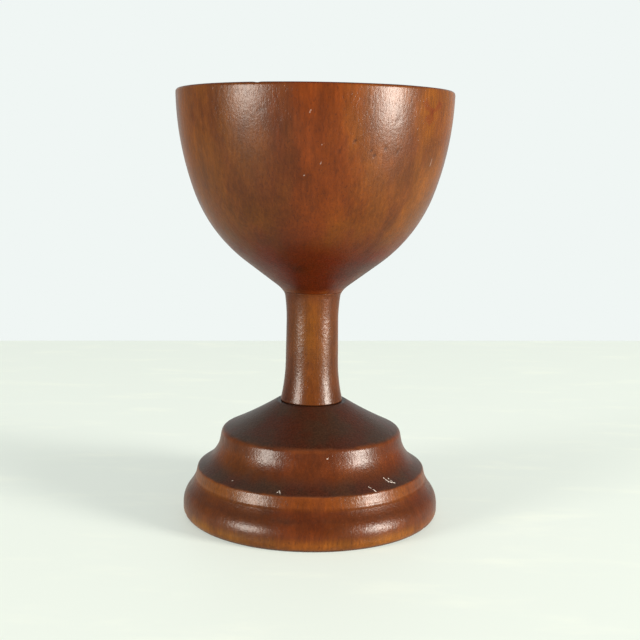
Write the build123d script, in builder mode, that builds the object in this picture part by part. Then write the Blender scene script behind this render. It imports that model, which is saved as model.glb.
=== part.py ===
"""Turned wooden communion chalice: bowl, stem and stepped base, pinned with dowels and a wedge.

Millimetres, +Z up. The origin is the centre of the foot, on the surface that the chalice stands on.
Every turned outline is a half section in the XZ plane, so its points are (radius, height) pairs.
"""

import os
from math import cos, radians, sin

from build123d import *

# ---- Heights of the glued joints and of the lip ----
seat_height = 43.5  # top of the base, where the stem stands
neck_height = 85.0  # top of the stem, where the bowl sits
lip_height = 158.4

# ---- Base ----
foot_radius = 48.4
foot_flat_radius = 46.6
dish_radius = 38.0  # inner edge of the flat ring that the foot stands on
dish_depth = 3.0
heel_height = 3.0
nose_height = 4.8
nose_end = (46.4, 10.4)
lower_cove_end = (43.3, 16.9)
ledge_edge = (43.0, 18.3)
ledge_end = (40.3, 20.1)
upper_cove_end = (34.5, 28.9)
shoulder = (33.8, 32.5)
shoulder_slope = 24.0  # degrees above level, where the shallow cone leaves the shoulder
seat_radius = 13.2
ledge_round = 1.2
shoulder_round = 2.5

# ---- Stem ----
stem_foot_radius = 11.8
shaft_low = (9.95, 58.2)  # ends of the nearly straight shaft
shaft_high = (9.75, 73.5)
flare_start = (10.4, 83.4)  # the last of the stem turns outwards into the bowl's cove
stem_edge_break = 0.25

# ---- Bowl ----
neck_radius = 11.1  # of the bowl and of the stem, which are turned flush where they meet
flank_start = (13.1, 87.1)  # the straight flank leaves the small cove over the neck
flank_end = (25.2, 96.2)
belly_end = (44.3, 122.1)
lip_radius = 50.8
lip_thickness = 3.1
lip_round = 1.2
floor_height = 101.0  # lowest point of the inside
floor_end = (20.0, 104.3)
inner_belly_end = (40.7, 125.0)

# ---- Dowels, their holes and the wedge ----
dowel_radius = 4.75
glue_gap = 0.1
hole_end_gap = 0.5
upper_dowel_in_bowl = 11.0
upper_dowel_in_stem = 12.0
lower_dowel_in_stem = 15.5
dowel_foot_height = dish_depth - 0.05  # sanded flush with the dished underside
dowel_chamfer = 0.6
flute_count = 8
flute_radius = 0.5
kerf_width = 0.8  # saw cut in the lower dowel
kerf_length = 12.0
wedge_width = 1.7  # thick end of the wedge
wedge_length = 11.0
spread_length = 10.0  # stretch of the lower dowel and of its hole that the wedge opens
spread = (wedge_width - kerf_width) / 2
hole_radius = dowel_radius + glue_gap


def ring(part, radius, height):
    """The circular edge of a turned piece that is nearest to this radius and height."""
    circles = part.edges().filter_by(GeomType.CIRCLE)
    return circles.sort_by(lambda e: abs(e.radius - radius) + abs(e.arc_center.Z - height))[0]


# ---- Base: bullnose, cove, ledge, cove, shoulder and shallow cone, on a flat ring ----
cone_start = (-cos(radians(shoulder_slope)), sin(radians(shoulder_slope)))

with BuildPart() as base:
    with BuildSketch(Plane.XZ):
        with BuildLine():
            heel = TangentArc((foot_radius, heel_height), (foot_flat_radius, 0), tangent=(0, -1))
            wall = Line(heel @ 0, (foot_radius, nose_height))
            nose = TangentArc(wall @ 1, nose_end, tangent=wall % 1)
            lower_cove = TangentArc(nose @ 1, lower_cove_end, tangent=nose % 1)
            ledge = Polyline(lower_cove @ 1, ledge_edge, ledge_end)
            upper_cove = TangentArc(ledge @ 1, upper_cove_end, tangent=ledge % 1)
            riser = Line(upper_cove @ 1, shoulder)
            cone = TangentArc(riser @ 1, (seat_radius, seat_height), tangent=cone_start)
            seat = Polyline(cone @ 1, (0, seat_height), (0, dish_depth))
            dish = TangentArc(seat @ 1, (dish_radius, 0), tangent=(1, 0))
            Line(dish @ 1, heel @ 1)
        make_face()
    revolve(axis=Axis.Z)
    fillet(ring(base, *ledge_edge), ledge_round)
    fillet(ring(base, *shoulder), shoulder_round)
    # hole for the lower dowel, opened out at its foot so that the wedged dowel can't pull out
    with BuildSketch(Plane.XZ):
        with BuildLine():
            Polyline(
                (0, seat_height),
                (hole_radius, seat_height),
                (hole_radius, dowel_foot_height + spread_length),
                (hole_radius + spread, dowel_foot_height),
                (hole_radius + spread, 0),
                (0, 0),
                close=True,
            )
        make_face()
    revolve(axis=Axis.Z, mode=Mode.SUBTRACT)
base.part.label = "base"


# ---- Stem: flared foot, slim shaft, flared top, and a blind hole in each end ----
with BuildPart() as stem:
    with BuildSketch(Plane.XZ):
        with BuildLine():
            shaft = Line(shaft_low, shaft_high)
            top = TangentArc(shaft @ 1, flare_start, tangent=shaft % 1)
            flare = TangentArc(top @ 1, (neck_radius, neck_height), tangent=top % 1)
            foot = TangentArc(shaft @ 0, (stem_foot_radius, seat_height), tangent=-(shaft % 0))
            Polyline(flare @ 1, (0, neck_height), (0, seat_height), foot @ 1)
        make_face()
    revolve(axis=Axis.Z)
    chamfer(ring(stem, stem_foot_radius, seat_height), stem_edge_break)
    with BuildSketch(Plane.XY.offset(neck_height)):
        Circle(hole_radius)
    extrude(amount=-(upper_dowel_in_stem + hole_end_gap), mode=Mode.SUBTRACT)
    with BuildSketch(Plane.XY.offset(seat_height)):
        Circle(hole_radius)
    extrude(amount=lower_dowel_in_stem + hole_end_gap, mode=Mode.SUBTRACT)
stem.part.label = "stem"


# ---- Bowl: cove over the neck, straight flank, round belly, upright wall and rounded lip ----
flank_direction = Vector(*flank_end) - Vector(*flank_start)

with BuildPart() as bowl:
    with BuildSketch(Plane.XZ):
        with BuildLine():
            flank = Line(flank_start, flank_end)
            neck = TangentArc(flank_start, (neck_radius, neck_height), tangent=-flank_direction)
            belly = TangentArc(flank @ 1, belly_end, tangent=flank % 1)
            side = TangentArc(belly @ 1, (lip_radius, lip_height), tangent=belly % 1)
            Line(side @ 1, (lip_radius - lip_thickness, lip_height))
            floor = TangentArc((0, floor_height), floor_end, tangent=(1, 0))
            inner_belly = TangentArc(floor @ 1, inner_belly_end, tangent=floor % 1)
            inner_lip = (lip_radius - lip_thickness, lip_height)
            TangentArc(inner_belly @ 1, inner_lip, tangent=inner_belly % 1)
            Polyline(floor @ 0, (0, neck_height), neck @ 1)
        make_face()
    revolve(axis=Axis.Z)
    fillet(bowl.edges().group_by(Axis.Z)[-1], lip_round)
    with BuildSketch(Plane.XY.offset(neck_height)):
        Circle(hole_radius)
    extrude(amount=upper_dowel_in_bowl + hole_end_gap, mode=Mode.SUBTRACT)
bowl.part.label = "bowl"


def flutes(foot_height):
    """Glue flutes: small circles round the dowel's edge, on a plane at its foot."""
    with BuildSketch(Plane.XY.offset(foot_height)) as grooves:
        with PolarLocations(dowel_radius, flute_count):
            Circle(flute_radius)
    return grooves.sketch


# ---- Upper dowel: pins the bowl to the stem ----
upper_dowel_foot = neck_height - upper_dowel_in_stem

with BuildPart() as upper_dowel:
    with BuildSketch(Plane.XY.offset(upper_dowel_foot)):
        Circle(dowel_radius)
    extrude(amount=upper_dowel_in_stem + upper_dowel_in_bowl)
    chamfer(upper_dowel.edges().filter_by(GeomType.CIRCLE), dowel_chamfer)
    add(flutes(upper_dowel_foot))
    extrude(amount=upper_dowel_in_stem + upper_dowel_in_bowl, mode=Mode.SUBTRACT)
upper_dowel.part.label = "upper_dowel"


# ---- Wedge: driven into the lower dowel's saw cut from below ----
with BuildPart() as wedge:
    with BuildSketch(Plane.XZ):
        with BuildLine():
            Polyline(
                (-wedge_width / 2, dowel_foot_height),
                (wedge_width / 2, dowel_foot_height),
                (kerf_width / 2, dowel_foot_height + wedge_length),
                (-kerf_width / 2, dowel_foot_height + wedge_length),
                close=True,
            )
        make_face()
    extrude(amount=dowel_radius, both=True)
wedge.part.label = "wedge"


# ---- Lower dowel: from the stem down through the base, sawn and wedged at its foot ----
lower_dowel_top = seat_height + lower_dowel_in_stem
spread_top = dowel_foot_height + spread_length

with BuildPart() as lower_dowel:
    with BuildSketch(Plane.XZ):
        with BuildLine():
            Polyline(
                (0, dowel_foot_height),
                (dowel_radius + spread, dowel_foot_height),
                (dowel_radius, spread_top),
                (dowel_radius, lower_dowel_top),
                (0, lower_dowel_top),
                close=True,
            )
        make_face()
    revolve(axis=Axis.Z)
    chamfer(lower_dowel.edges().group_by(Axis.Z)[-1], dowel_chamfer)
    add(flutes(spread_top + flute_radius))
    extrude(amount=lower_dowel_top - spread_top, mode=Mode.SUBTRACT)
    with BuildSketch(Plane.XZ):
        with BuildLine():
            Polyline(
                (-wedge_width / 2, dowel_foot_height),
                (wedge_width / 2, dowel_foot_height),
                (kerf_width / 2, dowel_foot_height + wedge_length),
                (kerf_width / 2, dowel_foot_height + kerf_length),
                (-kerf_width / 2, dowel_foot_height + kerf_length),
                (-kerf_width / 2, dowel_foot_height + wedge_length),
                close=True,
            )
        make_face()
    extrude(amount=2 * dowel_radius, both=True, mode=Mode.SUBTRACT)
lower_dowel.part.label = "lower_dowel"


# ---- Export: one STEP file for each piece ----
os.makedirs("parts", exist_ok=True)
for piece in (base, stem, bowl, upper_dowel, lower_dowel, wedge):
    export_step(piece.part, f"parts/{piece.part.label}.step")
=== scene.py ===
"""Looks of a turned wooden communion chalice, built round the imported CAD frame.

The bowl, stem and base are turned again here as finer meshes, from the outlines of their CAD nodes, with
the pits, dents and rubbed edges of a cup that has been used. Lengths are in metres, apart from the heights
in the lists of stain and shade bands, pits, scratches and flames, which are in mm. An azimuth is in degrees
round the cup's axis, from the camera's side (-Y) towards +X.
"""

import math
import random

import bmesh
import bpy
import numpy as np
from mathutils import Matrix, Vector, noise


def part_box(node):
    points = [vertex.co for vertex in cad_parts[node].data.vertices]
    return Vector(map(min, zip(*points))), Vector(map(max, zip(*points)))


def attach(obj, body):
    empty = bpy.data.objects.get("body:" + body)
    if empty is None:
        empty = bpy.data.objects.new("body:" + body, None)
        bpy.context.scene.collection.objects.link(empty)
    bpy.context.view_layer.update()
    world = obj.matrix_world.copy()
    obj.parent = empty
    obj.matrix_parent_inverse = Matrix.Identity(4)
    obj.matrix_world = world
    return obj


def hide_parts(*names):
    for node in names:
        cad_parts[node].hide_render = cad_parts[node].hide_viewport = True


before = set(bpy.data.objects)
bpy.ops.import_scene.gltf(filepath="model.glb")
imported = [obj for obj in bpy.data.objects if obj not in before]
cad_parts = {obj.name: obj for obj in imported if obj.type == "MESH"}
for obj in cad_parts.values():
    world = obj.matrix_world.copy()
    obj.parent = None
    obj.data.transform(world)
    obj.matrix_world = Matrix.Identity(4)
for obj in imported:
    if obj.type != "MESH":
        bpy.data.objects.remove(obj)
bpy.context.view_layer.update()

MM = 0.001
SEAT_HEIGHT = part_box("stem")[0].z
NECK_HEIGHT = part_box("stem")[1].z
LIP_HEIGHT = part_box("bowl")[1].z

# ---- Camera: where the photograph was taken from ----
LENS = 60.98  # mm, on the camera's own 36 mm sensor
CAMERA_PLACE = (0.00285, -0.4037, 0.13346)
CAMERA_PITCH = 8.38  # degrees below level
CAMERA_ROLL = 0.84  # degrees

# ---- Table ----
TABLE_FRONT, TABLE_BACK = -1.2, 0.397  # the cup stands near the back edge
TABLE_SIDE = 0.75
TABLE_THICKNESS = 0.03
TABLE_ROUND = 0.003
TABLE_TURN = 5.0  # degrees that the table is turned from square to the camera


def screen(red, green, blue):
    """The linear colour with these 0 to 255 screen values."""
    values = [v / 255 for v in (red, green, blue)]
    return (*(v / 12.92 if v <= 0.04045 else ((v + 0.055) / 1.055) ** 2.4 for v in values), 1.0)


BACKDROP = screen(240, 246, 244)
CEILING = (0.5, 0.51, 0.49, 1.0)
NEAR_ROOM = (0.4, 0.4, 0.39, 1.0)
TABLE_TOP = (0.43, 0.469, 0.434, 1.0)
TABLE_GLOW = (0.76, 0.83, 0.77, 1.0)
LAMPLIGHT = (1.0, 0.94, 0.86)

BROWN = screen(70, 36, 6)
AMBER = screen(86, 46, 6)
RED_BROWN = screen(80, 33, 4)
PURPLE_BROWN = screen(64, 29, 9)
ORANGE = screen(90, 48, 6)


# ---- Outlines, read from the CAD meshes ----

def half_section(node):
    """The outline of a turned CAD node, as (radius, height) points with the wood on the left of the line.

    A turned node has a seam in the half plane y = 0, x > 0. Its vertices there are walked along mesh edges,
    and across a flat ring, which has no edge along the seam, to the nearest one left. The walk starts
    nearest the middle of the axis, which is an end of the outline where a piece has a blind hole or a cup.
    """
    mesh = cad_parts[node].data
    rounding = 1e-7
    places = {
        v.index: (round(v.co.x, 6), round(v.co.z, 6))
        for v in mesh.vertices
        if abs(v.co.y) < rounding and v.co.x > -rounding
    }
    links = {place: set() for place in places.values()}
    for edge in mesh.edges:
        a, b = (places.get(v) for v in edge.vertices)
        if a and b:
            links[a].add(b)
            links[b].add(a)
    low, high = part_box(node)
    left = set(links)
    here = min(left, key=lambda p: math.dist(p, (0, (low.z + high.z) / 2)))
    path = [here]
    left.discard(here)
    while left:
        here = min(links[here] & left or left, key=lambda p: math.dist(p, here))
        path.append(here)
        left.discard(here)
    if path[0] in links[path[-1]]:
        path.append(path[0])
    else:
        path = list(dict.fromkeys([(0.0, path[0][1]), *path, (0.0, path[-1][1])]))
    outline = np.array(path)
    radius, height = outline.T
    area = np.sum(radius[:-1] * height[1:] - radius[1:] * height[:-1])
    return outline if area > 0 else outline[::-1]


def headings(points):
    """The direction of each run of a line, in radians, without jumps of a full turn."""
    runs = np.diff(points, axis=0)
    return np.unwrap(np.arctan2(runs[:, 1], runs[:, 0]))


def through(points, step):
    """Points every step or so on a smooth curve through the given ones, sharp where the line turns hard."""
    hard = math.radians(20)
    sharp = [0, *(1 + np.flatnonzero(abs(np.diff(headings(points))) > hard)), len(points) - 1]
    curve = [points[:1]]
    for first, last in zip(sharp[:-1], sharp[1:]):
        run = points[first:last + 1]
        run = np.vstack([2 * run[0] - run[1], run, 2 * run[-1] - run[-2]])
        curve += [span(run[i:i + 4], step) for i in range(len(run) - 3)]
    return np.vstack(curve)


def span(four, step):
    """Points after the second of four up to the third, on the centripetal Catmull-Rom curve."""
    gaps = np.linalg.norm(np.diff(four, axis=0), axis=1)
    knots = np.concatenate([[0], np.cumsum(np.sqrt(gaps))])
    count = math.ceil(math.dist(four[1], four[2]) / step)
    t = np.linspace(knots[1], knots[2], count + 1)[1:, None]

    def blend(a, b, i, j):
        return ((knots[j] - t) * a + (t - knots[i]) * b) / (knots[j] - knots[i])

    a = [blend(four[i], four[i + 1], i, i + 1) for i in range(3)]
    b = [blend(a[i], a[i + 1], i, i + 2) for i in range(2)]
    return blend(b[0], b[1], 1, 2)


def soften(points, width):
    """Sands the corners of a dense, even outline: a moving average over width to each side."""
    closed = np.allclose(points[0], points[-1])
    body = points[:-1] if closed else points
    reach = round(width / np.linalg.norm(np.diff(body, axis=0), axis=1).mean())
    weights = np.hanning(2 * reach + 3)[1:-1]
    weights /= weights.sum()
    how = {"mode": "wrap"} if closed else {"mode": "reflect", "reflect_type": "odd"}
    padded = np.pad(body, ((reach, reach), (0, 0)), **how)
    smooth = np.stack([np.convolve(column, weights, "valid") for column in padded.T], axis=1)
    return np.vstack([smooth, smooth[:1]]) if closed else smooth


def thin_out(points, outside, inside):
    """Keeps a point every outside, or every inside on walls that face the axis, and more where it turns."""
    sharpest = math.radians(7)
    heading = headings(points)
    kept = [0]
    run = 0.0
    for i in range(1, len(points) - 1):
        run += math.dist(points[i], points[i - 1])
        faces_axis = math.sin(heading[i]) < -0.05  # the line runs downwards there
        if run >= (inside if faces_axis else outside) or abs(heading[i] - heading[kept[-1]]) > sharpest:
            kept.append(i)
            run = 0.0
    return points[kept + [len(points) - 1]]


def fine_outline(node, round_over, outside=0.7 * MM, inside=1.5 * MM):
    """The outline of a turned CAD node for a fine mesh, with its corners rounded over."""
    low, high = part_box(node)
    outline = thin_out(soften(through(half_section(node), 0.2 * MM), round_over), outside, inside)
    return np.clip(outline, (0, low.z), (high.x, high.z))


# ---- Turning an outline into a mesh ----

def directions(azimuths):
    """Unit vectors away from the axis, as an array with a row for each azimuth."""
    turns = np.radians(azimuths)
    return np.stack([np.sin(turns), -np.cos(turns), np.zeros_like(turns)], axis=1)


def sectors(coarse, fine=None, fine_from=0, fine_to=0):
    """Azimuths round the axis, every coarse degrees and every fine degrees in one sector."""
    close = np.arange(fine_from, fine_to, fine) if fine else np.empty(0)
    rest = round((fine_from + 360 - fine_to) / coarse)
    return np.concatenate([close, np.linspace(fine_to, fine_from + 360, rest, endpoint=False)])


def on_wall(outline, azimuth, height):
    """The point on the outside of a turned piece at this azimuth and height."""
    outer = outline[1:][np.diff(outline[:, 1]) > 0]
    radius = np.interp(height, outer[:, 1], outer[:, 0])
    return Vector((*(radius * directions([azimuth])[0, :2]), height))


def outline_shape(ring, closed):
    """The way each outline point faces, as (radius, height), and its curvature, above 0 on a bulge."""
    before, after = np.roll(ring, 1, axis=0), np.roll(ring, -1, axis=0)
    if not closed:
        before[0], after[-1] = ring[0], ring[-1]
    along = after - before
    length = np.linalg.norm(along, axis=1)
    along /= length[:, None]
    facing = np.stack([along[:, 1], -along[:, 0]], axis=1)
    curvature = 8 * np.cross(ring - before, after - ring) / length ** 3
    return facing, curvature


def wall_faces(on_axis, columns, closed):
    """The faces between rows of points, and which points are kept: of a row on the axis only the first."""
    rows = len(on_axis)
    widths = np.where(on_axis, 1, columns)
    first = np.concatenate([[0], np.cumsum(widths)[:-1]])
    number = first[:, None] + np.arange(columns) % widths[:, None]
    kept = (np.arange(columns) < widths[:, None]).ravel()
    faces = []
    for row in range(rows if closed else rows - 1):
        here, above = number[row], number[(row + 1) % rows]
        corners = np.stack([here, np.roll(here, -1), np.roll(above, -1), above], axis=1)
        faces += [list(dict.fromkeys(face)) for face in corners.tolist()]
    return faces, kept


def turn(name, outline, azimuths, wear):
    """A closed mesh of the outline turned about Z, cut back by wear(points), and its shading facts.

    The facts are vertex attributes for the material, from 0 to 1. end_grain is how level the surface lies,
    because the grain stands upright. edge is how sharply it curves outwards, and 1 at a radius of 1 mm or
    less. pit is how deep the wear's pits are.
    """
    closed = np.allclose(outline[0], outline[-1])
    ring = outline[:-1] if closed else outline
    facing, curvature = outline_shape(ring, closed)
    rays = directions(azimuths)
    up = np.array([0.0, 0.0, 1.0])
    points = ring[:, None, :1] * rays + ring[:, None, 1:] * up
    normals = facing[:, None, :1] * rays + facing[:, None, 1:] * up
    on_axis = ring[:, 0] < 1e-6
    depth, pit = wear(points)
    depth[on_axis] = 0
    points -= normals * depth[..., None]

    faces, kept = wall_faces(on_axis, len(azimuths), closed)
    mesh = bpy.data.meshes.new(name)
    mesh.from_pydata(points.reshape(-1, 3)[kept].tolist(), [], faces)
    facts = {
        "end_grain": np.broadcast_to(abs(facing[:, 1:]), pit.shape),
        "edge": np.broadcast_to(np.clip(curvature[:, None] * MM, 0, 1), pit.shape),
        "pit": pit,
    }
    for fact, values in facts.items():
        values = np.ascontiguousarray(values, np.float32).ravel()[kept]
        mesh.attributes.new(fact, "FLOAT", "POINT").data.foreach_set("value", values)
    mesh.polygons.foreach_set("use_smooth", [True] * len(mesh.polygons))
    mesh.update()
    piece = bpy.data.objects.new(name, mesh)
    bpy.context.scene.collection.objects.link(piece)
    return piece


# ---- Wear ----

SWELL_SIZE, SWELL_DEPTH = 17 * MM, 0.07 * MM  # slow swells of a hand-sanded wall
RING_PITCH, RING_DEPTH = 1.4 * MM, 0.012 * MM  # rings that the turning tool left
PIT_DEPTH = 0.15 * MM


def unevenness(points, size, depth, seed):
    """Slow noise over each point, from 0 to depth, with patches about size across."""
    shift = Vector((seed, -seed, 0.5 * seed))
    flat = points.reshape(-1, 3)
    values = np.array([noise.noise(Vector(p) / size + shift) for p in flat])
    return depth * np.clip(0.5 + 0.5 * values, 0, 1).reshape(points.shape[:-1])


def tool_rings(points, seed):
    """Faint rings that the turning tool and the sandpaper left, as depths."""
    heights = points[:, 0, 2] + 0.7 * np.linalg.norm(points[:, 0, :2], axis=1)
    values = np.array([noise.noise(Vector((h / RING_PITCH, seed, 0.5))) for h in heights])
    return (RING_DEPTH * (0.5 + 0.5 * values))[:, None]


def hollow(points, centre, radius):
    """1 at the centre of a small round hollow, falling smoothly to 0 at its radius."""
    distance = np.linalg.norm(points - np.array(centre), axis=-1)
    return np.clip(1 - (distance / radius) ** 2, 0, 1) ** 2


def scattered_dents(outline, count, low, high, seed):
    """Places, radii and depths of shallow dents on the outside, between two heights."""
    draw = random.Random(seed)
    return [
        (
            on_wall(outline, draw.uniform(-180, 180), draw.uniform(low, high)),
            draw.uniform(0.9, 2.6) * MM,
            draw.uniform(0.03, 0.11) * MM,
        )
        for _ in range(count)
    ]


def cut_line(points, height, half_width, depth):
    """A fine line cut round the outside at this height, which smooth noise breaks up a little."""
    innermost = 20 * MM
    outside = np.linalg.norm(points[:, 0, :2], axis=1) > innermost
    share = np.clip(1 - abs(points[:, 0, 2] - height) / half_width, 0, 1) * outside
    return share[:, None] * (0.5 * depth + unevenness(points, 3 * MM, 0.5 * depth, 2))


def worn(hollows, pits, seed, lines=()):
    """The wear of one piece, as turn() wants it.

    hollows are the places, radii and depths of dents and chips. pits are the places and radii of pits that
    hold dirt. lines are the heights, half widths and depths of fine lines cut round the outside.
    """

    def wear(points):
        depth = unevenness(points, SWELL_SIZE, SWELL_DEPTH, seed) + tool_rings(points, seed)
        for height, half_width, deep in lines:
            depth += cut_line(points, height, half_width, deep)
        for centre, radius, deep in hollows:
            depth += deep * hollow(points, centre, radius)
        dark = np.zeros(points.shape[:-1])
        for centre, radius in pits:
            one = hollow(points, centre, radius)
            depth += PIT_DEPTH * one
            dark = np.maximum(dark, one)
        return depth, dark

    return wear


def on_walls(outline, lines):
    """Lines of (azimuth, height in mm) points, as lines of points on the outside of a turned piece."""
    return [[on_wall(outline, azimuth, z * MM) for azimuth, z in line] for line in lines]


# ---- Materials ----

class Nodes:
    """Adds shader nodes to a tree. A call gives back the new node's output, for a later call's inputs."""

    def __init__(self, tree):
        self.tree = tree

    def add(self, kind, inputs=(), output=0, **settings):
        node = self.tree.nodes.new("ShaderNode" + kind)
        for name, value in settings.items():
            setattr(node, name, value)
        self.connect(node, inputs)
        return node.outputs[output]

    def connect(self, node, inputs):
        for key, value in dict(inputs).items():
            if isinstance(value, bpy.types.NodeSocket):
                self.tree.links.new(value, node.inputs[key])
            else:
                node.inputs[key].default_value = value

    def math(self, operation, *values):
        return self.add("Math", enumerate(values), operation=operation)

    def vector(self, operation, *values, output=0):
        return self.add("VectorMath", enumerate(values), output, operation=operation)

    def fact(self, name):
        """A vertex attribute of the mesh."""
        return self.add("Attribute", output="Fac", attribute_name=name)

    def noise(self, where, size, detail=2.0, roughness=0.5):
        """Soft noise from 0 to 1, with features about size across."""
        inputs = {"Vector": where, "Scale": 1 / size, "Detail": detail, "Roughness": roughness}
        return self.add("TexNoise", inputs)

    def between(self, value, low, high, start=0.0, end=1.0):
        """Goes smoothly from start to end while value goes from low to high."""
        limits = (value, low, high, start, end)
        return self.add("MapRange", enumerate(limits), interpolation_type="SMOOTHSTEP")

    def mix(self, share, a, b, how="MIX"):
        return self.add("Mix", {0: share, 6: a, 7: b}, 2, data_type="RGBA", blend_type=how)

    def ramp(self, value, stops):
        """The colour at value, from 0 to 1, blended between the (value, colour) stops."""
        node = self.tree.nodes.new("ShaderNodeValToRGB")
        node.color_ramp.interpolation = "B_SPLINE"
        elements = node.color_ramp.elements
        for i, (position, colour) in enumerate(stops):
            element = elements[i] if i < 2 else elements.new(position)
            element.position = position
            element.color = colour
        self.tree.links.new(value, node.inputs[0])
        return node.outputs[0]

    def near_line(self, place, start, end, width):
        """1 close to the line from start to end, falling to 0 at width from it."""
        along = Vector(end) - Vector(start)
        offset = self.vector("SUBTRACT", place, start)
        share = self.vector("DOT_PRODUCT", offset, along / along.length_squared, output="Value")
        clamped = self.add("Clamp", {0: share})
        nearest = self.add("VectorMath", {0: along, "Scale": clamped}, operation="SCALE")
        gap = self.vector("DISTANCE", offset, nearest, output="Value")
        return self.between(gap, width, 0.4 * width)


def new_material(name):
    material = bpy.data.materials.new(name)
    material.use_nodes = True
    tree = material.node_tree
    return material, Nodes(tree), tree.nodes["Principled BSDF"]


def tone_ramp(tones):
    """Stops for Nodes.ramp from (azimuth, colour) tones, wrapped round the back so that it has no seam."""
    stops = [(0.5 + azimuth / 360, colour) for azimuth, colour in tones]
    (first, start), (last, end) = stops[0], stops[-1]
    share = first / (first + 1 - last)
    seam = tuple(a + (b - a) * share for a, b in zip(start, end))
    return [(0.0, seam), *stops, (1.0, seam)]


def seeded(nodes, place, seed):
    """Object coordinates shifted by the seed, so that each wood has noise of its own."""
    return nodes.vector("ADD", place, (0.37 * seed, 0.21 * seed, 0.11 * seed))


class Grain:
    """The noises of one piece of stained wood, which are drawn out along its upright grain.

    blotch, cloud, streak, short and dots go from 0 to 1, and so do the masks pore and end, for end grain.
    """

    def __init__(self, nodes, seed):
        self.place = nodes.add("TexCoord", output="Object")
        self.sample = seeded(nodes, self.place, seed)
        self.drifting = nodes.vector("MULTIPLY", self.sample, (1, 1, 0.45))
        upright = nodes.vector("MULTIPLY", self.sample, (1, 1, 0.07))
        fibre = nodes.vector("MULTIPLY", self.sample, (1, 1, 0.2))
        self.blotch = nodes.noise(self.drifting, 7 * MM, 4, 0.6)
        elsewhere = nodes.vector("ADD", self.drifting, (0.5, 0.5, 0.5))
        self.cloud = nodes.noise(elsewhere, 13 * MM, 3, 0.6)
        self.streak = nodes.noise(upright, 1.6 * MM, 5, 0.7)
        self.short = nodes.noise(fibre, 0.7 * MM, 3, 0.6)
        self.pore = nodes.between(nodes.noise(fibre, 0.35 * MM, 0), 0.64, 0.76)
        self.dots = nodes.noise(self.sample, 0.6 * MM, 2)
        ragged = nodes.between(self.blotch, 0.2, 0.8, -0.1, 0.1)
        self.end = nodes.between(nodes.math("ADD", nodes.fact("end_grain"), ragged), 0.5, 0.86)


def stain(nodes, grain, tones, stain_and_shade_bands):
    """Stain tones in upright bands that wander, times tints in rings that paint light and shade too."""
    across, back, height = nodes.add("SeparateXYZ", {0: grain.place}).node.outputs
    near = nodes.math("MULTIPLY", back, -1)
    wander = nodes.between(nodes.noise(grain.drifting, 12 * MM, 3), 0.2, 0.8, -0.22, 0.22)
    angle = nodes.math("ADD", nodes.math("ARCTAN2", across, near), wander)
    turned = nodes.math("FRACT", nodes.math("MULTIPLY_ADD", angle, 0.5 / math.pi, 0.5))
    low, high = stain_and_shade_bands[0][0], stain_and_shade_bands[-1][0]
    rise = nodes.between(height, low * MM, high * MM)
    rise.node.interpolation_type = "LINEAR"
    rings = [((z - low) / (high - low), (*shade, 1)) for z, shade in stain_and_shade_bands]
    tint = nodes.ramp(rise, rings)
    tint.node.color_ramp.interpolation = "EASE"
    return nodes.mix(1.0, nodes.ramp(turned, tone_ramp(tones)), tint, "MULTIPLY")


def figured(nodes, grain, colour):
    """The colour with clouds, blotches, streaks, short fibres and growth lines."""
    colour = nodes.mix(nodes.between(grain.cloud, 0.48, 0.68, 0, 0.55), colour, PURPLE_BROWN)
    mottles = ((grain.blotch, 0.28, 0.2), (grain.streak, 0.3, 0.11), (grain.short, 0.3, 0.13))
    for mottle, low, swing in mottles:
        lightness = nodes.between(mottle, low, 1 - low, 1 - swing, 1 + swing)
        colour = nodes.mix(1.0, colour, lightness, "MULTIPLY")
    pith = nodes.vector("ADD", grain.drifting, (0.13, -0.05, 0))
    growth = nodes.add(
        "TexWave",
        {"Vector": pith, "Scale": 0.3 / (1.5 * MM), "Distortion": 5.0, "Detail": 3.0, "Detail Scale": 0.4},
        wave_type="RINGS",
        rings_direction="Z",
    )
    shown = nodes.between(nodes.noise(grain.drifting, 16 * MM, 2), 0.42, 0.62, 0.02, 0.16)
    return nodes.mix(nodes.math("MULTIPLY", growth, shown), colour, screen(49, 18, 5))


def flamed(nodes, grain, colour, flames):
    """The colour with dark lines of figure, which curl a little."""
    shift = nodes.add("TexNoise", {"Vector": grain.sample, "Scale": 1 / (3 * MM)}, "Color")
    shift = nodes.vector("MULTIPLY", nodes.vector("SUBTRACT", shift, (0.5, 0.5, 0.5)), (5 * MM,) * 3)
    curled = nodes.vector("ADD", grain.place, shift)
    for start, end in flames:
        flame = nodes.near_line(curled, start, end, 1.9 * MM)
        colour = nodes.mix(nodes.math("MULTIPLY", flame, 0.6), colour, screen(74, 28, 4))
    return colour


def soaked(nodes, grain, colour, ends):
    """The colour with its pores, and with end grain that drinks the stain and shows its pores as dots."""
    colour = nodes.mix(nodes.math("MULTIPLY", grain.pore, 0.45), colour, screen(41, 15, 5))
    drunk = nodes.mix(nodes.between(grain.cloud, 0.35, 0.65), *ends)
    drunk = nodes.mix(1.0, drunk, nodes.between(grain.dots, 0.3, 0.7, 0.75, 1.25), "MULTIPLY")
    return nodes.mix(grain.end, colour, drunk)


def used(nodes, grain, colour, rubbed):
    """The colour with rubbed edges, dirt in its pits, and dirt and painted shade at the stem's foot."""
    patchy = nodes.between(nodes.noise(grain.sample, 5 * MM, 3), 0.3, 0.7)
    rub = nodes.math("MULTIPLY", nodes.math("MULTIPLY", nodes.fact("edge"), patchy), rubbed)
    colour = nodes.mix(rub, colour, screen(122, 66, 27))
    height = nodes.add("SeparateXYZ", {0: grain.place}, "Z")
    gap = nodes.math("ABSOLUTE", nodes.math("SUBTRACT", height, SEAT_HEIGHT))
    # dirt and painted shade in the joint where the stem stands on the base
    joint_dirt_and_shade = nodes.between(gap, 0.6 * MM, 0.1 * MM, 0, 0.5)
    dirt = nodes.math("MAXIMUM", nodes.math("MULTIPLY", nodes.fact("pit"), 0.85), joint_dirt_and_shade)
    return nodes.mix(dirt, colour, screen(30, 12, 8))


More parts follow.
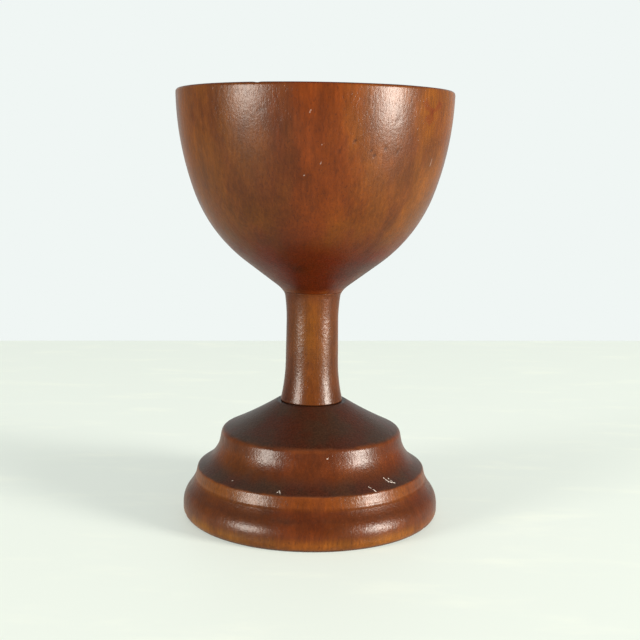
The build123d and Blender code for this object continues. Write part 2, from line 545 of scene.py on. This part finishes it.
def scratched(nodes, grain, colour, scratches, bareness):
    """The colour with pale, broken scratches."""
    bare = 0.0
    for start, end in scratches:
        bare = nodes.math("MAXIMUM", bare, nodes.near_line(grain.place, start, end, 0.25 * MM))
    broken = nodes.between(nodes.noise(grain.sample, 0.5 * MM, 1), 0.35, 0.6)
    share = nodes.math("MULTIPLY", nodes.math("MULTIPLY", bare, broken), bareness)
    return nodes.mix(share, colour, screen(215, 205, 195))


def lacquer(nodes, grain, peel_depth):
    """The lacquer's relief, in mm: orange peel, the wood that shows through, and fine scratches."""
    relief = nodes.math("MULTIPLY", nodes.noise(grain.sample, 1.1 * MM, 2, 0.6), peel_depth)
    end_dots = nodes.math("MULTIPLY", grain.dots, grain.end)
    shown = ((grain.short, 0.016), (grain.streak, 0.02), (grain.pore, -0.012), (end_dots, 0.06))
    for bumps, height in shown:
        relief = nodes.math("MULTIPLY_ADD", bumps, height, relief)
    for tilt in (24, -31):
        slanted = nodes.add(
            "Mapping",
            {"Vector": grain.sample, "Rotation": (0, math.radians(tilt), 0), "Scale": (1, 1, 40)},
            vector_type="TEXTURE",
        )
        line = nodes.between(nodes.noise(slanted, 0.5 * MM, 0), 0.66, 0.8)
        relief = nodes.math("MULTIPLY_ADD", line, -0.008, relief)
    return nodes.add("Bump", {"Strength": 1.0, "Distance": MM, "Height": relief}, "Normal")


def stained_wood(
    name, seed, tones, stain_and_shade_bands, ends, rubbed=0.0, scratches=(), bareness=0.18, flames=(), peel_depth=0.055
):
    """Close upright grain under a reddish stain, which end grain drinks in, and a worn satin lacquer.

    tones are (azimuth, colour) pairs for the stain round the piece, and on the stem they paint shade on its
    sides. The height bands are (height in mm, tint) pairs, part stain and part painted light and shade.
    ends are the two colours of end grain. rubbed is how bare the outer edges are, and bareness how pale the
    scratches are, from 0 to 1. flames are dark lines of figure.
    peel_depth is how deep the lacquer's orange peel is, in mm.
    """
    material, nodes, shader = new_material(name)
    grain = Grain(nodes, seed)
    colour = stain(nodes, grain, tones, stain_and_shade_bands)
    colour = figured(nodes, grain, colour)
    if flames:
        colour = flamed(nodes, grain, colour, flames)
    colour = soaked(nodes, grain, colour, ends)
    colour = used(nodes, grain, colour, rubbed)
    if scratches:
        colour = scratched(nodes, grain, colour, scratches, bareness)
    relief = lacquer(nodes, grain, peel_depth)
    satin = nodes.between(grain.blotch, 0.2, 0.8, 0.34, 0.44)
    nodes.connect(shader, {
        "Base Color": colour,
        "Roughness": nodes.math("MULTIPLY_ADD", grain.end, 0.12, satin),
        "Normal": relief,
        "Coat Normal": relief,
        "Coat Weight": 0.3,
        "Coat Roughness": 0.27,
        "Specular IOR Level": 0.05,
        "Specular Tint": (1.0, 0.78, 0.6, 1.0),
    })
    return material


def plain_wood(name, light, dark, seed, ring_size):
    """Unstained hardwood, sawn and sanded flush: fine upright grain, and growth lines across its ends."""
    material, nodes, shader = new_material(name)
    sample = seeded(nodes, nodes.add("TexCoord", output="Object"), seed)
    upright = nodes.vector("MULTIPLY", sample, (1, 1, 0.08))
    lines = nodes.add(
        "TexWave",
        {"Vector": upright, "Scale": 1 / ring_size, "Distortion": 2.5, "Detail": 3, "Detail Scale": 1.5},
        wave_type="BANDS",
    )
    short = nodes.noise(upright, 0.3 * MM, 3)
    smear = nodes.between(nodes.noise(sample, 2.5 * MM, 3), 0.45, 0.65)
    colour = nodes.mix(nodes.between(lines, 0.1, 0.9, 0, 0.5), light, dark)
    colour = nodes.mix(1.0, colour, nodes.between(short, 0.3, 0.7, 0.8, 1.2), "MULTIPLY")
    colour = nodes.mix(nodes.math("MULTIPLY", smear, 0.5), colour, screen(120, 70, 35))
    height = nodes.math("MULTIPLY_ADD", short, 0.02, nodes.math("MULTIPLY", lines, 0.008))
    bump = nodes.add("Bump", {"Strength": 1.0, "Distance": MM, "Height": height}, "Normal")
    nodes.connect(shader, {
        "Base Color": colour,
        "Roughness": nodes.between(short, 0.3, 0.7, 0.55, 0.7),
        "Normal": bump,
    })
    return material


# ---- The three turned pieces ----

def finish_piece(piece, material, node):
    piece.data.materials.append(material)
    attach(piece, "root")
    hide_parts(node)


def add_bowl():
    outline = fine_outline("bowl", 0.15 * MM)
    pits = [(16, 140.0), (23, 137.0), (29, 137.4), (35, 136.5), (10, 136.5), (24.5, 135.4), (-20, 149.5)]
    pits = [(on_wall(outline, azimuth, z * MM), 0.8 * MM) for azimuth, z in pits]
    nicks = [(on_wall(outline, -22, LIP_HEIGHT), 1.6 * MM, 0.25 * MM)]
    dents = scattered_dents(outline, 46, NECK_HEIGHT + 8 * MM, LIP_HEIGHT, seed=5)
    azimuths = sectors(1.05, fine=0.6, fine_from=-12, fine_to=58)  # finer round the pits
    piece = turn("turned_bowl", outline, azimuths, worn(dents + nicks, pits, seed=3))
    scratches = [
        ((-1.6, 148.6), (-1.2, 149.4)),
        ((3.1, 138.4), (3.8, 138.9)),
        ((2.7, 132.3), (3.1, 132.9)),
        ((-3.9, 128.4), (-3.6, 128.6)),
        ((57.8, 132.0), (58.2, 134.4)),
        ((17.0, 92.6), (19.5, 93.2)),
        ((-1.8, 93.0), (0.2, 93.2)),
        ((-9.0, 93.5), (-6.8, 94.0)),
    ]
    tones = (
        (-160, BROWN), (-135, RED_BROWN), (-110, AMBER), (-82, BROWN), (-66, ORANGE), (-56, BROWN),
        (-38, AMBER), (-16, PURPLE_BROWN), (-4, RED_BROWN), (10, RED_BROWN), (24, ORANGE),
        (38, PURPLE_BROWN), (50, ORANGE), (68, AMBER), (90, BROWN), (115, RED_BROWN), (140, AMBER),
    )
    # stain and painted shade: the bowl darker towards its bottom
    stain_and_shade_bands = (
        (84, (1, 0.85, 0.75)), (88, (1, 0.85, 0.75)), (96, (0.84, 0.8, 0.74)), (120, (0.88, 0.9, 0.92)),
        (158, (1, 1, 1)),
    )
    ends = (screen(50, 16, 4), screen(66, 20, 4))
    flames = [((47, 152.5), (52, 149.5)), ((52, 149.5), (57, 152.5)), ((49, 148.0), (52, 147.2))]
    marks = {"scratches": on_walls(outline, scratches), "flames": on_walls(outline, flames)}
    wood = stained_wood("bowl_wood", 1, tones, stain_and_shade_bands, ends, **marks)
    finish_piece(piece, wood, "bowl")


def add_stem():
    outline = fine_outline("stem", 0.12 * MM, outside=0.5 * MM)
    dents = scattered_dents(outline, 8, SEAT_HEIGHT, NECK_HEIGHT, seed=9)
    piece = turn("turned_stem", outline, sectors(2.5), worn(dents, [], seed=8))
    # painted shade: a darker tone on the stem's sides, at azimuths -90 to -50 and at 55, so that its front
    # looks lit
    painted_side_shade = screen(58, 27, 7)
    tones = (
        (-150, BROWN), (-90, painted_side_shade), (-50, painted_side_shade), (-25, BROWN), (3, ORANGE), (30, BROWN), (55, painted_side_shade),
        (140, AMBER),
    )
    # stain and painted light and shade: darker at the foot and the neck, paler in the middle
    stain_and_shade_bands = (
        (43, (0.65, 0.55, 0.5)), (48, (0.85, 0.75, 0.65)), (58, (0.95, 0.9, 0.8)), (65, (1.15, 1.2, 1.2)),
        (75, (1, 1, 1)), (80, (0.95, 0.9, 0.85)), (85, (0.8, 0.66, 0.55)),
    )
    ends = (screen(51, 20, 8), screen(66, 25, 8))
    wood = stained_wood("stem_wood", 2, tones, stain_and_shade_bands, ends, rubbed=0.2, peel_depth=0.1)
    finish_piece(piece, wood, "stem")


def add_base():
    outline = fine_outline("base", 0.2 * MM, outside=0.4 * MM)
    dents = scattered_dents(outline, 30, 1 * MM, SEAT_HEIGHT, seed=14)
    nick_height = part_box("base")[0].z + 1.2 * MM
    nick_places = [on_wall(outline, azimuth, nick_height) for azimuth in (-74, 12, 63, 131, -148)]
    nicks = [(place, 1.8 * MM, 0.35 * MM) for place in nick_places]
    under_ledge = (14.5 * MM, 0.6 * MM, 0.3 * MM)
    wear = worn(dents + nicks, [], seed=12, lines=[under_ledge])
    piece = turn("turned_base", outline, sectors(1.2), wear)
    scratches = [
        ((10.2, 29.6), (10.8, 29.9)),
        ((43.2, 21.4), (44.4, 20.4)),
        ((43.7, 20.8), (44.9, 20.3)),
        ((44.4, 20.2), (48.2, 19.4)),
        ((46.0, 21.0), (47.2, 20.0)),
        ((31.0, 20.0), (32.0, 19.6)),
        ((32.6, 19.2), (33.5, 18.6)),
        ((-15.6, 19.1), (-14.6, 19.6)),
        ((-14.6, 19.6), (-14.0, 19.0)),
        ((-43.2, 20.0), (-42.8, 20.1)),
    ]
    tones = (
        (-155, BROWN), (-110, RED_BROWN), (-80, BROWN), (-50, AMBER), (-25, BROWN), (0, RED_BROWN),
        (30, AMBER), (60, RED_BROWN), (90, BROWN), (140, RED_BROWN),
    )
    # stain and painted light and shade: light is the pale bottom ring, dark the cove above the nose and the
    # upper band's top
    light, dark = (1.35, 1.65, 1.6), (0.6, 0.48, 0.4)
    stain_and_shade_bands = (
        (0, light), (2.6, light), (6, (0.72, 0.6, 0.5)), (9, dark), (12.8, dark),
        (15.2, (1.05, 1.05, 1)), (17.4, (1, 1, 0.95)), (18.5, (0.75, 0.66, 0.58)),
        (23, (0.66, 0.56, 0.46)), (26.5, (0.74, 0.62, 0.52)), (29.8, dark), (44, dark),
    )
    ends = (screen(42, 26, 17), screen(48, 21, 11))
    marks = {"scratches": on_walls(outline, scratches), "bareness": 0.6}
    wood = stained_wood("base_wood", 4, tones, stain_and_shade_bands, ends, rubbed=0.3, peel_depth=0.09, **marks)
    finish_piece(piece, wood, "base")


def finish_hidden_pieces():
    """The dowels and the wedge stay as CAD nodes, in bare hardwoods."""
    birch = plain_wood(
        "dowel_birch", screen(214, 180, 134), screen(186, 146, 98), seed=6, ring_size=1.1 * MM
    )
    walnut = plain_wood(
        "wedge_walnut", screen(110, 74, 48), screen(72, 46, 30), seed=7, ring_size=0.8 * MM
    )
    for node, material in (("upper_dowel", birch), ("lower_dowel", birch), ("wedge", walnut)):
        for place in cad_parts[node].material_slots:
            place.material = material


# ---- Studio ----

def add_table():
    """A pale table top with rounded edges, and a faint painted glow that evens out its brightness."""
    mesh = bpy.data.meshes.new("table")
    work = bmesh.new()
    bmesh.ops.create_cube(work, size=1)
    size = Vector((2 * TABLE_SIDE, TABLE_BACK - TABLE_FRONT, TABLE_THICKNESS))
    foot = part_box("base")[0].z
    middle = Vector((0, (TABLE_BACK + TABLE_FRONT) / 2, foot - TABLE_THICKNESS / 2))
    bmesh.ops.scale(work, vec=size, verts=work.verts)
    bmesh.ops.translate(work, vec=middle, verts=work.verts)
    bmesh.ops.bevel(work, geom=work.edges[:], offset=TABLE_ROUND, segments=4, profile=0.5, affect="EDGES")
    bmesh.ops.rotate(work, matrix=Matrix.Rotation(math.radians(TABLE_TURN), 3, "Z"), verts=work.verts)
    work.to_mesh(mesh)
    work.free()
    table = bpy.data.objects.new("table", mesh)
    bpy.context.scene.collection.objects.link(table)
    material, nodes, shader = new_material("table_paint")
    place = nodes.add("TexCoord", output="Object")
    smudge = nodes.noise(nodes.vector("MULTIPLY", place, (1, 3, 1)), 60 * MM, 4, 0.6)
    colour = nodes.mix(nodes.between(smudge, 0.5, 0.8, 0, 0.3), TABLE_TOP, screen(206, 208, 190))
    nodes.connect(shader, {
        "Base Color": colour,
        "Roughness": 0.6,
        # painted glow: the table gives out light of its own, though it is no lamp
        "Emission Color": TABLE_GLOW,
        "Emission Strength": 0.44,
    })
    mesh.materials.append(material)


def add_room():
    """A pale backdrop, and a darker ceiling and near side, which the lacquer mirrors."""
    world = bpy.data.worlds.new("room")
    world.use_nodes = True
    bpy.context.scene.world = world
    nodes = Nodes(world.node_tree)
    way = nodes.add("TexCoord", output="Generated")
    split = nodes.add("SeparateXYZ", {0: way}).node
    walls = nodes.mix(nodes.between(split.outputs[1], 0.72, 0.9), NEAR_ROOM, BACKDROP)
    colour = nodes.mix(nodes.between(split.outputs[2], 0.3, 0.7), walls, CEILING)
    nodes.connect(world.node_tree.nodes["Background"], {"Color": colour, "Strength": 1.0})


def add_lamp(name, azimuth, elevation, distance, width, height, power):
    """A soft rectangular lamp that faces the cup."""
    middle = Vector((0, 0, 0.6 * LIP_HEIGHT))
    rise = math.radians(elevation)
    way = Vector(directions([azimuth])[0]) * math.cos(rise) + Vector((0, 0, math.sin(rise)))
    data = bpy.data.lights.new(name, "AREA")
    data.shape = "RECTANGLE"
    data.size, data.size_y = width, height
    data.energy = power
    data.color = LAMPLIGHT
    lamp = bpy.data.objects.new(name, data)
    aim = way.to_track_quat("Z", "Y").to_matrix().to_4x4()
    lamp.matrix_world = Matrix.Translation(middle + way * distance) @ aim
    lamp.visible_camera = False
    bpy.context.scene.collection.objects.link(lamp)


def add_camera():
    data = bpy.data.cameras.new("camera")
    data.lens = LENS
    data.clip_start = 0.01
    camera = bpy.data.objects.new("camera", data)
    camera.matrix_world = (
        Matrix.Translation(CAMERA_PLACE)
        @ Matrix.Rotation(math.radians(90 - CAMERA_PITCH), 4, "X")
        @ Matrix.Rotation(math.radians(CAMERA_ROLL), 4, "Z")
    )
    bpy.context.scene.collection.objects.link(camera)
    bpy.context.scene.camera = camera


add_bowl()
add_stem()
add_base()
finish_hidden_pieces()
add_table()
add_room()
add_lamp("lamp_right", azimuth=63, elevation=5, distance=2.0, width=0.6, height=0.95, power=140.0)
add_lamp("lamp_left", azimuth=-55, elevation=6, distance=2.0, width=0.7, height=0.7, power=72.0)
add_camera()
bpy.context.scene.view_settings.view_transform = "Standard"
